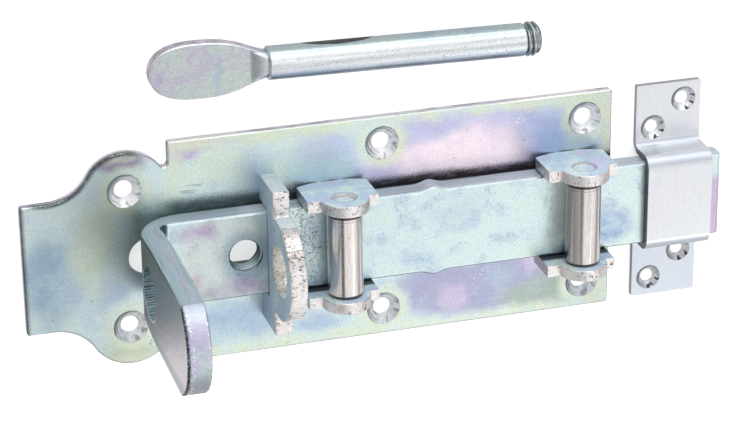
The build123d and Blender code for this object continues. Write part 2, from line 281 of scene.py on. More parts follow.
def plated_sheet():
    """the stamped base plate"""
    m = Mat("plated_sheet")
    m.warp(0.07, 13.0)
    x, y, z = m.xyz(m.p)
    nx, ny, nz = m.xyz(m.normal)
    low = m.noise(m.p, 0.035, 3.0, 0.55, offset=(40, 11, 0))
    mid = m.noise(m.p, 0.13, 3.0, 0.6, offset=(5, 71, 0))
    t = m.add(0.34, m.mul(m.math("SUBTRACT", low, 0.5), 0.45), m.mul(m.math("SUBTRACT", mid, 0.5), 0.42))
    col = m.ramp(t, FILM)
    mottle = m.remap(mid, 0.34, 0.56, 0.72, 1.0)

    def patch(col, strength, colour, cx, cy, rx, ry, soft=0.7):
        return m.mix(m.mul(m.mul(m.blob(cx, cy, rx, ry, soft), mottle), strength), col, srgb(*colour))

    # soft fields of thicker and thinner film
    for args in (
            (0.85, (222, 236, 220), -37, 29, 16, 13),
            (0.80, (200, 218, 230), -24, 27, 11, 10, 0.9),
            (0.75, (196, 205, 234), 0, 33, 15, 8),
            (0.80, (222, 236, 236), -10, 37, 9, 5, 0.8),
            (1.00, (198, 184, 220), -49, 38.5, 13, 6, 0.4),
            (0.80, (208, 202, 228), -36, 40.5, 14, 3, 0.5),
            (0.95, (197, 196, 231), 50, 26, 48, 19, 0.35),
            (0.85, (200, 202, 234), 45, 39, 40, 5, 0.6),
            (1.00, (248, 232, 243), 46, 22, 34, 12.5, 0.5),
            (0.80, (184, 200, 232), 82, 27, 10, 16),
            (0.90, (182, 200, 228), 98, 22, 7, 9, 0.6),
            (0.90, (196, 192, 230), 37, 37.5, 13, 4.5, 0.6),
            (0.70, (238, 224, 240), 62, 29, 10, 8, 0.8),
            (0.85, (198, 196, 228), 21, 21, 12, 9, 0.8),
            (0.95, (172, 194, 218), -32, -27, 22, 12),
            (0.80, (176, 196, 222), -4, -31, 15, 6),
            (1.00, (176, 178, 206), 56, -27, 40, 14, 0.4),
            (0.80, (214, 198, 224), 45, -30, 7, 9),
            (0.70, (214, 200, 226), 76, -19, 8, 6),
            (0.60, (172, 190, 208), 63, -25, 7, 6),
            (0.80, (150, 176, 200), -95, -4, 14, 24),
            (0.70, (168, 186, 210), -73, -12, 9, 8),
            (0.85, (200, 212, 190), -79, 6, 12, 22),
            (0.85, (204, 212, 184), -68, -33, 13, 7, 0.6),
            (0.60, (216, 226, 232), -3, 33, 8, 9, 0.9),
            (1.00, (160, 152, 174), -69, 35.5, 12, 7.5, 0.6),
            (1.00, (172, 186, 180), 82, -34, 24, 12, 0.5)):
        col = patch(col, *args)
    # yellow-green rims and halos round the holes
    ax = m.math("ABSOLUTE", m.math("SUBTRACT", x, -OX + 25.0))
    stir = m.mul(m.math("SUBTRACT", mid, 0.5), 8.0)
    wide = m.remap(x, -OX - 58.0, -OX - 50.0)
    rim = m.math("MAXIMUM", m.remap(m.add(m.math("ABSOLUTE", y), stir), 34.5, 39.0), m.mul(m.remap(m.add(ax, stir), 71.0, 77.5), wide))
    d = hole_distance(m, [(hx, s * hy) for hx, hy in HOLES for s in (1, -1)])
    rim = m.math("MAXIMUM", rim, m.remap(m.add(d, m.mul(stir, 0.5)), 11.0, 7.0))
    col = m.mix(m.mul(rim, 0.85), col, m.ramp(mid, [(0.35, srgb(216, 232, 224)), (0.6, srgb(224, 232, 208))]))
    # the tail is darker than the rest
    tail = m.remap(x, -OX - 58.0, -OX - 78.0)
    col = m.mix(m.mul(tail, 0.16), col, srgb(70, 84, 96))
    g, gh = grain(m, 1.6, 1.5)
    lines = m.noise(m.vmath("MULTIPLY", m.p, (0.05, 1.0, 1.0)), 0.9, 3.0, 0.7)
    col = tone(m, col, m.mul(m.mul(g, m.remap(x, 70.0 - OX, 103.0 - OX, 1.0, 0.84)), m.remap(lines, 0.25, 0.75, 0.97, 1.03, smooth=False)))
    # short parallel scratches above the bend
    sv = m.node("ShaderNodeVectorRotate", rotation_type="Z_AXIS")
    m.put(sv.inputs["Vector"], m.p)
    sv.inputs["Angle"].default_value = math.radians(6)
    sc = m.noise(m.vmath("MULTIPLY", sv.outputs[0], (0.10, 1.0, 1.0)), 1.5, 1.0, 0.5, offset=(3, 9, 0))
    scratch = m.mul(m.remap(sc, 0.57, 0.62), m.blob(-45, 22, 5, 2.8, 0.4))
    col = m.mix(m.mul(scratch, 0.45), col, srgb(118, 134, 140))
    chips = m.noise(m.p, 1.1, 2.0, 0.6, offset=(2, 8, 0))
    chips = m.mul(m.remap(chips, 0.60, 0.63), m.math("MAXIMUM", m.blob(70, 32, 4, 2.0, 0.4), m.mul(m.blob(56, -24, 9, 4, 0.6), 0.5)))
    col = m.mix(m.mul(chips, 0.7), col, srgb(250, 252, 255))
    dark = pits(m, 0.35, 0.22, 0.72)
    col = m.mix(m.mul(dark, 0.5), col, srgb(96, 104, 108))
    # sheared rim of the sheet: bright lilac, with a few dark runs
    wall = m.remap(m.math("ABSOLUTE", nz), 0.75, 0.35)
    run = m.noise(m.vmath("MULTIPLY", m.p, (0.25, 0.25, 2.0)), 0.25, 3.0, 0.7, offset=(1, 1, 1))
    wcol = m.ramp(run, [(0.34, srgb(96, 98, 108)), (0.44, srgb(222, 214, 232)), (0.62, srgb(240, 236, 242)), (0.72, srgb(150, 146, 164))])
    col = m.mix(m.mul(wall, 0.85), col, wcol)
    # painted shade on the step's wall, which is turned to the left
    step = m.mul(m.mul(wall, m.remap(nx, -0.6, -0.9)), m.mul(m.remap(y, 25.0, 28.0), m.remap(x, -OX - 60.0, -OX - 54.0)))
    col = m.mix(m.mul(step, m.remap(run, 0.62, 0.50, 0.35, 0.95)), col, srgb(46, 48, 54))
    # painted shade beside the bolt's upper edge, and painted shade along the tail's left and upper sheared edges
    speck = m.noise(m.p, 2.2, 2.0, 0.8, offset=(2, 5, 2))
    side = m.math("SUBTRACT", y, 15.0)
    reach = m.add(m.remap(x, -OX - 20.0, -OX + 12.0, 7.0, 5.0), m.remap(x, -OX + 40.0, -OX + 60.0, 0.0, -0.6))
    bolt_shade = m.math("SUBTRACT", 1.0, m.math("DIVIDE", m.add(side, m.mul(stir, 0.22)), reach))
    bolt_shade = m.mul(m.remap(m.add(bolt_shade, m.mul(m.math("SUBTRACT", speck, 0.5), 0.9)), 0.12, 0.72), m.remap(x, -OX - 60.0, -OX - 50.0))
    bolt_shade = m.mul(bolt_shade, m.remap(y, 13.0, 15.0))
    streaky = m.noise(m.vmath("MULTIPLY", m.p, (0.25, 1.0, 1.0)), 0.55, 3.0, 0.7, offset=(21, 3, 2))
    bolt_shade = m.mul(m.mul(bolt_shade, m.remap(streaky, 0.36, 0.52, 0.88, 1.0)), m.remap(nz, 0.0, 0.5))
    # painted shade: the dark band on the plate along the bolt's upper edge
    col = m.mix(m.mul(bolt_shade, 0.95), col, m.ramp(m.remap(x, -OX - 40.0, -OX + 80.0, smooth=False), [(0.0, srgb(84, 102, 104)), (0.36, srgb(56, 60, 64)), (0.58, srgb(24, 25, 30)), (0.68, srgb(24, 25, 30)), (0.86, srgb(36, 36, 42))]))
    def arc(cx, cy, r, gate, reach=1.9, full=0.4):
        v = m.vmath("MULTIPLY", m.vmath("SUBTRACT", m.p, (cx - OX, cy, 0.0)), (1, 1, 0))
        return m.mul(m.remap(m.math("ABSOLUTE", m.math("SUBTRACT", m.vmath("LENGTH", v), r)), reach, full), gate)

    left_of = lambda x0, soft: m.remap(x, -OX + x0 + soft, -OX + x0)
    # painted shade: a dark grainy line inside the tail's left and upper outline
    edge = m.math("MAXIMUM", m.remap(x, -OX - 101.2, -OX - 103.0), arc(-94.2, 39.0, 16.0, m.mul(left_of(-82.0, 3.0), m.remap(y, 40.0, 36.0))))
    edge = m.math("MAXIMUM", edge, arc(-67.7, 23.5, 14.7, m.mul(left_of(-66.0, 6.0), m.remap(y, 27.0, 31.0))))
    edge = m.mul(m.mul(edge, m.remap(z, 0.8, 2.2)), m.remap(speck, 0.34, 0.50, 0.35, 1.0))
    col = m.mix(m.mul(edge, 0.90), col, srgb(50, 50, 58))
    # thin worn hem along the lower and right outline
    hem = m.math("MAXIMUM", m.mul(m.remap(y, -39.30, -39.75), wide), m.remap(x, -OX + 102.4, -OX + 102.8))
    hem = m.math("MAXIMUM", hem, arc(-94.2, -39.0, 16.0, m.mul(left_of(-82.0, 3.0), m.remap(y, -40.0, -36.0)), 0.8, 0.3))
    hem = m.math("MAXIMUM", hem, arc(-67.7, -23.5, 14.7, m.mul(left_of(-56.0, 4.0), m.remap(y, -27.0, -31.0)), 0.8, 0.3))
    col = m.mix(m.mul(m.mul(hem, m.remap(nz, 0.0, 0.5)), m.remap(run, 0.35, 0.60, 0.35, 0.70)), col, srgb(128, 126, 144))
    # the slot's cut wall is dull
    slot = m.mul(m.mul(wall, m.remap(m.math("ABSOLUTE", y), 12.0, 10.0)), m.remap(x, -OX - 90.0, -OX - 88.0))
    slot = m.mul(slot, m.remap(x, -OX + 100.0, -OX + 96.0))
    col = m.mix(m.mul(slot, 0.75), col, srgb(104, 112, 120))
    # grainy shade round the shoulder behind the flange
    shade = m.mul(m.math("MAXIMUM", m.blob(-60, 14, 17, 12, 0.9), m.blob(-66, 2, 13, 18, 0.9)), m.remap(speck, 0.38, 0.62, 0.35, 1.0))
    col = m.mix(m.mul(m.mul(shade, m.remap(nz, 0.0, 0.5)), 0.52), col, srgb(98, 122, 128))
    proud = m.remap(z, 3.02, 3.10)
    col = m.mix(m.mul(proud, 0.9), col, m.ramp(mid, [(0.35, srgb(70, 78, 84)), (0.60, srgb(128, 140, 148))]))
    rough = m.add(m.remap(mid, 0.3, 0.7, 0.29, 0.36), m.mul(bolt_shade, 0.25), m.mul(proud, 0.2))
    h = m.add(gh, m.mul(dark, -0.8), m.mul(scratch, -0.5))
    col, rough, h = countersink(m, [(hx, s * hy) for hx, hy in HOLES for s in (1, -1)], 5.75, col, rough, h, spokes=0.50)
    hole = m.remap(d, 6.2, 5.6)
    return m.finish(col, rough, h, 0.5, 0.00014, metallic=m.remap(hole, 0.0, 1.0, 1.0, 0.45))


def plated_bar():
    """the sliding bolt: drawn flat bar"""
    m = Mat("plated_bar")
    m.warp(0.08, 12.0)
    x, y, z = m.xyz(m.p)
    nx, ny, nz = m.xyz(m.normal)
    low = m.noise(m.p, 0.045, 3.0, 0.55, offset=(9, 3, 21))
    mid = m.noise(m.p, 0.16, 3.0, 0.6, offset=(1, 33, 4))
    t = m.add(0.37, m.mul(m.math("SUBTRACT", low, 0.5), 0.40), m.mul(m.math("SUBTRACT", mid, 0.5), 0.50))
    col = m.ramp(t, FILM)
    up = m.mul(m.remap(nz, 0.6, 0.9), m.remap(z, 20.0, 14.0))
    mottle = m.remap(mid, 0.36, 0.60, 0.55, 1.0)

    def patch(col, strength, colour, cx, cy, rx, ry, soft=0.7):
        return m.mix(m.mul(m.mul(m.blob(cx, cy, rx, ry, soft), m.mul(mottle, up)), strength), col, srgb(*colour))

    for args in (
            (0.80, (204, 208, 208), -37, -1, 20, 26, 0.5),
            (1.00, (184, 174, 200), -46, 10.5, 11, 5, 0.8),
            (0.80, (168, 158, 184), -34, -12, 17, 7),
            (0.60, (196, 178, 192), -48, -6, 6, 8),
            (0.50, (156, 168, 176), -9, 0, 6, 30, 0.9),
            (0.60, (186, 202, 226), 44, 5, 14, 9),
            (0.60, (176, 190, 196), 80, -4, 5, 16, 0.9),
            (0.80, (158, 152, 176), -29, -12, 6, 6, 0.9),
            (1.00, (166, 184, 212), 101, -7, 10, 10, 0.8)):
        col = patch(col, *args)
    tip = m.mul(m.remap(x, -OX + 134.0, -OX + 136.0), m.remap(y, 8.5, 5.0))
    col = m.mix(m.mul(tip, 0.9), col, srgb(200, 178, 208))
    tap = m.vmath("LENGTH", m.vmath("MULTIPLY", m.vmath("SUBTRACT", m.p, (-30.0 - OX, 0, 0)), (1, 1, 0)))
    halo = m.mul(m.remap(m.add(tap, m.mul(m.math("SUBTRACT", mid, 0.5), 5)), 11.0, 6.2), up)
    col = m.mix(m.mul(halo, 0.65), col, srgb(136, 164, 176))
    # long sides: rolling streaks that follow the bar round its bend
    qx = m.math("MAXIMUM", m.math("SUBTRACT", -54.0 - OX, x), 0.0)
    qz = m.math("MAXIMUM", m.math("SUBTRACT", 16.5, z), 0.0)
    q = m.math("SQRT", m.add(m.mul(qx, qx), m.mul(qz, qz)))
    v = m.node("ShaderNodeCombineXYZ")
    m.put(v.inputs[0], q)
    m.put(v.inputs[1], m.mul(y, 0.3))
    m.put(v.inputs[2], m.mul(m.math("SUBTRACT", x, z), 0.03))
    side = m.remap(m.math("ABSOLUTE", ny), 0.55, 0.92)
    streak = m.noise(v.outputs[0], 1.1, 3.0, 0.75)
    scol = m.ramp(streak, [(0.30, srgb(150, 168, 178)), (0.45, srgb(192, 208, 216)), (0.56, srgb(198, 198, 216)), (0.70, srgb(220, 232, 236))])
    # dark hairlines along the rolling, and a darker lower edge
    band = m.ramp(m.remap(m.add(q, m.mul(m.math("SUBTRACT", streak, 0.5), 2.2)), 4.0, 13.0, smooth=False),
                  [(0.03, srgb(216, 230, 234)), (0.14, srgb(146, 178, 186)), (0.42, srgb(160, 164, 184)), (0.66, srgb(138, 166, 174)), (0.88, srgb(128, 158, 164)), (0.96, srgb(206, 222, 226))])
    bent = m.mul(m.remap(x, -OX - 26.0, -OX - 34.0), m.remap(ny, 0.2, 0.6))
    drawn = m.noise(v.outputs[0], 2.4, 2.0, 0.6, offset=(8, 1, 0))
    scol = m.mix(m.mul(bent, 0.78), scol, tone(m, band, m.remap(drawn, 0.35, 0.65, 0.80, 1.12, smooth=False)))
    bottom = m.mul(m.remap(ny, -0.22, -0.5), m.remap(z, 10.6, 11.2))
    col = m.mix(m.mul(bottom, 0.75), col, srgb(82, 90, 98))
    low_edge = m.mul(m.remap(z, 5.6, 4.4), m.remap(x, -OX - 50.0, -OX - 46.0))
    streak_dark = m.mul(m.remap(m.noise(v.outputs[0], 1.5, 1.0, 0.5, offset=(3, 1, 0)), 0.54, 0.68), m.remap(x, -OX - 30.0, -OX - 20.0, 0.30, 0.55))
    scol = m.mix(m.math("MAXIMUM", m.mul(low_edge, 0.5), streak_dark), scol, srgb(92, 104, 112))
    col = m.mix(m.mul(side, 0.9), col, scol)
    g, gh = grain(m, 1.6, 1.5)
    col = tone(m, col, g)
    # outer face of the flange: painted shade, dark above the bend, paler and pinkish to its end
    left = m.remap(nx, -0.45, -0.85)
    border = m.mul(m.remap(y, -11.8, -14.2), m.remap(z, 16.0, 24.0))
    dull = m.noise(m.vmath("MULTIPLY", m.p, (1, 1, 0.35)), 0.9, 3.0, 0.75, offset=(8, 2, 9))
    slant = m.add(z, m.mul(y, -2.34))
    lift = m.add(m.remap(slant, 0.0, 90.0, smooth=False), m.mul(m.math("SUBTRACT", dull, 0.5), 0.42), m.mul(m.math("SUBTRACT", low, 0.5), 0.2))
    lcol = m.ramp(lift, [(0.03, srgb(80, 90, 94)), (0.30, srgb(108, 120, 128)), (0.52, srgb(120, 122, 132)), (0.68, srgb(156, 150, 160)), (0.82, srgb(190, 182, 192)), (0.95, srgb(218, 208, 216))])
    lcol = m.mix(m.mul(border, 0.65), lcol, srgb(148, 162, 158))
    far = m.mul(m.remap(z, 78.0, 81.0), m.remap(y, 9.0, 4.0))
    lcol = m.mix(m.mul(far, 0.5), lcol, srgb(186, 206, 196))
    lspeck = m.remap(m.noise(m.vmath("MULTIPLY", m.p, (1, 1, 0.5)), 0.85, 3.0, 0.8, offset=(9, 4, 1)), 0.54, 0.62)
    lcol = m.mix(m.mul(lspeck, m.remap(slant, 40.0, 75.0, 0.50, 0.14)), lcol, srgb(48, 56, 62))
    col = m.mix(m.mul(left, 0.92), col, lcol)
    # sawn end of the flange, streaked across its thickness
    end = m.mul(m.remap(z, 64.0, 69.0), m.remap(nz, 0.25, 0.5))
    saw = m.noise(m.vmath("MULTIPLY", m.p, (0.6, 1.0, 1.0)), 0.16, 2.0, 0.5, offset=(1, 2, 3))
    ecol = m.ramp(m.add(saw, m.mul(m.math("SUBTRACT", mid, 0.5), 0.3)), [(0.25, srgb(196, 214, 222)), (0.42, srgb(206, 196, 230)), (0.55, srgb(214, 218, 230)), (0.70, srgb(190, 210, 210))])
    ecol = m.mix(m.mul(m.remap(y, 8.0, 14.0), 0.6), ecol, srgb(196, 212, 220))
    ecol = m.mix(m.mul(m.remap(y, -2.0, -9.0), 0.6), ecol, srgb(184, 196, 196))
    comb = m.noise(m.vmath("MULTIPLY", m.p, (0.25, 1.0, 1.0)), 1.6, 1.0, 0.5, offset=(6, 1, 2))
    ecol = tone(m, ecol, m.mul(m.remap(y, -16.0, -2.0, 0.66, 0.90), m.remap(comb, 0.35, 0.65, 0.93, 1.05, smooth=False)))
    # painted highlights along the two long edges of the flange's sawn end
    glint = m.mul(m.remap(m.noise(m.p, 0.9, 3.0, 0.7, offset=(3, 3, 9)), 0.54, 0.62), m.math("MAXIMUM", m.remap(x, -OX - 63.6, -OX - 64.6), m.remap(x, -OX - 60.2, -OX - 59.2)))
    ecol = m.mix(m.mul(glint, 0.8), ecol, srgb(250, 252, 255))
    col = m.mix(m.mul(end, 0.9), col, ecol)
    # shaded start of the inner bend, next to the long side
    hook = m.mul(m.mul(m.remap(nx, 0.10, 0.30), m.remap(z, 17.5, 15.5)), m.mul(m.remap(x, -OX - 52.0, -OX - 54.5), m.remap(y, 8.0, 13.0)))
    col = m.mix(m.mul(hook, 0.85), col, srgb(66, 72, 84))
    # torn burr along the outer corner of that end
    tear = m.noise(m.p, 1.5, 3.0, 0.8)
    rag = m.mul(m.math("SUBTRACT", tear, 0.5), 0.9)
    corner = m.mul(m.mul(m.remap(m.add(nx, rag), -0.02, -0.25), m.remap(m.add(nx, rag), -1.02, -0.90)), m.mul(m.remap(nz, 0.06, 0.30), m.remap(z, 66.0, 70.0)))
    lipx = m.add(x, m.mul(m.math("SUBTRACT", tear, 0.5), 3.6))
    lip = m.mul(m.mul(m.remap(lipx, -OX - 65.3, -OX - 65.8), m.remap(z, 67.0, 69.5)), m.remap(nz, 0.04, 0.2))
    corner = m.math("MAXIMUM", corner, lip)
    col = m.mix(m.mul(corner, m.remap(tear, 0.36, 0.47, 0.20, 0.96)), col, srgb(40, 40, 46))
    # irregular pits, thickest before the left roller
    dirty = m.mul(m.blob(-10, 0, 10, 32, 0.7), up)
    dark = m.mul(m.math("MAXIMUM", pits(m, 0.75, 0.24, 0.66), pits(m, 1.5, 0.30, 0.66, offset=(5, 5, 5))), m.mul(m.remap(q, 2.0, 0.0), 1.0))
    rust = m.mul(m.remap(m.noise(m.p, 1.2, 3.0, 0.85, offset=(6, 6, 1)), 0.55, 0.61), m.math("MAXIMUM", m.mul(dirty, 0.9), m.mul(up, m.mul(m.remap(mid, 0.52, 0.62), 0.35))))
    dark = m.math("MAXIMUM", dark, rust)
    col = m.mix(m.mul(dark, 0.72), col, srgb(78, 88, 92))
    # wall of the padlock hole, ribbed by the drill
    pad = m.vmath("LENGTH", m.vmath("MULTIPLY", m.vmath("SUBTRACT", m.p, (0, -1.0, 29.0)), (0, 1, 1)))
    bore = m.mul(m.remap(pad, 9.12, 9.05), m.remap(x, -OX - 57.0, -OX - 58.0))
    px, py, pz = m.xyz(m.vmath("SUBTRACT", m.p, (0, -1.0, 29.0)))
    torn = m.noise(m.vmath("MULTIPLY", m.p, (0.35, 1.0, 1.0)), 1.3, 2.0, 0.7, offset=(5, 5, 9))
    hatch = m.math("SINE", m.add(m.mul(m.math("ARCTAN2", pz, py), 64.0), m.mul(torn, 9.0)))
    hatch = m.add(m.mul(hatch, 0.55), m.mul(m.math("SUBTRACT", torn, 0.45), 3.0))
    col = m.mix(m.mul(bore, 0.92), col, m.ramp(m.remap(hatch, -1.0, 1.0), [(0.15, srgb(74, 92, 100)), (0.50, srgb(112, 134, 142)), (0.90, srgb(170, 190, 198))]))
    # painted highlight on one side of the padlock hole's rim
    mouth = m.mul(m.remap(pad, 10.1, 9.4), m.mul(left, m.remap(m.add(py, m.mul(pz, 0.7)), 1.0, -4.0)))
    col = m.mix(m.mul(mouth, 0.8), col, srgb(244, 248, 250))
    rough = m.math("ADD", m.remap(low, 0.3, 0.7, 0.30, 0.37), m.math("MAXIMUM", m.mul(side, 0.30), m.mul(end, 0.14)))
    h = m.add(gh, m.mul(dark, -1.2), m.mul(m.mul(end, saw), 0.5), m.mul(m.mul(side, streak), 1.0))
    return m.finish(col, rough, h, 0.5, 0.00014, metallic=m.remap(m.remap(ny, 0.5, 0.9), 0.0, 1.0, 1.0, 0.30))


def cut_material(name, axis):
    """staple and ears: punched plate, blue faces and warm cut edges with short dark tears"""
    m = Mat(name)
    x, y, z = m.xyz(m.p)
    nx, ny, nz = m.xyz(m.normal)
    low = m.noise(m.p, 0.09, 3.0, 0.6, offset=(2, 2, 8))
    mid = m.noise(m.p, 0.30, 3.0, 0.6, offset=(6, 2, 1))
    face = m.ramp(m.add(0.48, m.mul(m.math("SUBTRACT", low, 0.5), 0.7)), FILM)
    cut = m.ramp(mid, [(0.3, srgb(230, 221, 218)), (0.5, srgb(244, 239, 237)), (0.7, srgb(228, 227, 229))])
    if axis == "Y":
        face = tone(m, m.ramp(m.add(0.50, m.mul(m.math("SUBTRACT", low, 0.5), 1.5)), FILM), m.remap(low, 0.0, 1.0, 1.05, 1.07))
    blue = m.remap(m.math("ABSOLUTE", ny), 0.93, 0.99)
    flat = m.remap(m.math("ABSOLUTE", nx), 0.90, 0.985) if axis == "X" else blue
    edge = m.math("SUBTRACT", 1.0, m.math("MAXIMUM", flat, blue))
    # tears and burnt pits on the cut faces, gathered in places
    s = (0.5, 1.0, 1.0) if axis == "X" else (1.0, 0.5, 1.0)
    tear = m.noise(m.vmath("MULTIPLY", m.p, s), 1.15, 3.0, 0.85, offset=(4, 4, 4))
    zone = m.noise(m.p, 0.26, 2.0, 0.5, offset=(8, 1, 6))
    if axis == "X":
        torn = m.math("MAXIMUM", m.remap(y, -8.5, -12.5), m.remap(m.math("ABSOLUTE", m.math("SUBTRACT", y, 9.3)), 2.2, 0.6))
        torn = m.mul(torn, m.remap(m.math("ABSOLUTE", y), 15.0, 14.0))
        tear = m.add(tear, m.mul(torn, 0.05))
        zone = m.add(zone, m.mul(torn, 0.12))
    tear = m.mul(m.remap(tear, 0.56, 0.62), m.remap(zone, 0.42, 0.56, 0.12, 1.0))
    col = m.mix(flat, m.mix(m.mul(tear, 0.85), cut, srgb(64, 60, 62)), face)
    g, gh = grain(m, 1.9, 1.3)
    if axis == "X":
        col = m.mix(blue, col, m.ramp(mid, [(0.3, srgb(196, 210, 218)), (0.7, srgb(218, 228, 234))]))
        # worn dark line along the left corner of the cut faces
        worn = m.mul(m.mul(m.remap(m.math("ABSOLUTE", m.add(x, OX + 21.9)), 0.50, 0.15), edge), m.remap(mid, 0.40, 0.58))
        col = m.mix(m.mul(worn, 0.55), col, srgb(96, 94, 100))
        # the inside of the ring keeps the rough bore
        ring = m.vmath("LENGTH", m.vmath("MULTIPLY", m.vmath("SUBTRACT", m.p, (0, -0.7, 27.2)), (0, 1, 1)))
        bore = m.mul(m.remap(ring, 9.3, 9.1), edge)
        mottled = m.noise(m.p, 1.5, 3.0, 0.8, offset=(1, 8, 3))
        col = m.mix(m.mul(bore, 0.85), col, m.ramp(mottled, [(0.34, srgb(150, 148, 142)), (0.5, srgb(224, 222, 212)), (0.64, srgb(248, 246, 238))]))
    else:
        lip = None
        for px in (2.6, 87.3):
            v = m.vmath("SUBTRACT", m.p, (px - OX, 0.0, 18.6))
            d = m.vmath("LENGTH", m.vmath("MULTIPLY", v, (1.0, 0.0, 1.0)))
            lip = d if lip is None else m.math("MINIMUM", lip, d)
        wall = m.mul(m.remap(lip, 4.25, 4.05), edge)
        col = m.mix(m.mul(wall, 0.9), col, srgb(250, 242, 242))
        line = m.mul(m.remap(m.math("ABSOLUTE", m.math("SUBTRACT", lip, 4.25)), 0.28, 0.06), flat)
        col = m.mix(m.mul(line, 0.6), col, srgb(104, 104, 112))
        # shaded foot of the ears' inner faces, behind the bolt
        foot = m.mul(m.remap(z, 15.2, 13.6), m.remap(m.math("ABSOLUTE", y), 15.9, 15.6))
        col = m.mix(m.mul(foot, 0.9), col, srgb(40, 40, 44))
    # painted shade on the cut edges' shoulders that face +Y, stronger on the staple than on the ears
    shoulder = m.mul(m.mul(edge, m.remap(ny, 0.28, 0.50)), m.remap(ny, 0.995, 0.96))
    col = tone(m, col, m.mul(g, m.remap(shoulder, 0.0, 1.0, 1.02, 0.78 if axis == "X" else 0.94)))
    dark = pits(m, 0.8, 0.26, 0.66)
    col = m.mix(m.mul(dark, 0.75), col, srgb(78, 80, 84))
    rough = m.math("ADD", m.remap(low, 0.3, 0.7, 0.28, 0.36), m.mul(m.math("MAXIMUM", flat, blue), 0.40))
    rough = m.math("ADD", rough, m.mul(edge, 0.10))
    h = m.add(gh, m.mul(dark, -1.0), m.mul(m.mul(tear, edge), -1.6))
    soft = m.math("MAXIMUM", m.remap(ny, 0.93, 0.99), m.mul(m.remap(nx, -0.90, -0.985), 0.55) if axis == "X" else 0.0)
    return m.finish(col, rough, h, 0.55, 0.00016, metallic=m.remap(soft, 0.0, 1.0, 1.0, 0.30))


def plated_strip():
    """the keeper: bright folded strip"""
    m = Mat("plated_strip")
    m.warp(0.08, 10.0)
    low = m.noise(m.p, 0.06, 2.0, 0.5, offset=(17, 4, 2))
    col = m.ramp(m.add(0.5, m.mul(m.math("SUBTRACT", low, 0.5), 0.6)),
                 [(0.2, srgb(222, 227, 224)), (0.5, srgb(220, 222, 228)), (0.8, srgb(228, 224, 230))])
    g, gh = grain(m, 1.7, 0.8)
    brush = m.noise(m.vmath("MULTIPLY", m.p, (1.0, 0.06, 0.06)), 1.4, 3.0, 0.7)
    col = tone(m, col, m.mul(g, m.remap(brush, 0.25, 0.75, 0.97, 1.03, smooth=False)))
    dark = pits(m, 0.4, 0.22, 0.76)
    col = m.mix(m.mul(dark, 0.5), col, srgb(110, 116, 124))
    # painted shade on the cut left edge of the box; the lower flange is a little darker
    x, y, z = m.xyz(m.p)
    nx, ny, nz = m.xyz(m.normal)
    col = m.mix(m.mul(m.remap(y, -16.0, -19.0), 0.5), col, srgb(186, 196, 210))
    any_ = m.math("ABSOLUTE", ny)
    # painted shade along the bends of the strip
    bends = m.mul(m.remap(any_, 0.10, 0.40), m.remap(any_, 0.99, 0.90))
    col = m.mix(m.mul(bends, 0.75), col, srgb(188, 194, 206))
    # painted shade on the box's cut left edge
    cutl = m.mul(m.remap(nx, -0.5, -0.8), m.remap(z, 2.4, 3.4))
    col = m.mix(m.mul(cutl, 0.85), col, srgb(52, 54, 60))
    rimk = m.mul(m.math("MAXIMUM", m.remap(m.math("ABSOLUTE", nx), 0.45, 0.75), m.mul(m.remap(m.math("ABSOLUTE", ny), 0.6, 0.8), m.remap(m.math("ABSOLUTE", y), 38.6, 39.4))), m.remap(z, 2.6, 2.2))
    col = m.mix(m.mul(rimk, 0.6), col, srgb(122, 126, 136))
    col, rough, h = countersink(m, [(129.85, 33.1), (118.85, 23.8), (129.85, -23.8), (118.85, -33.1)], 4.3, col, m.add(m.remap(low, 0.3, 0.7, 0.29, 0.36), m.mul(bends, 0.16)), m.add(gh, m.mul(dark, -0.8)), spokes=0.95)
    return m.finish(col, rough, h, 0.3, 0.00012)


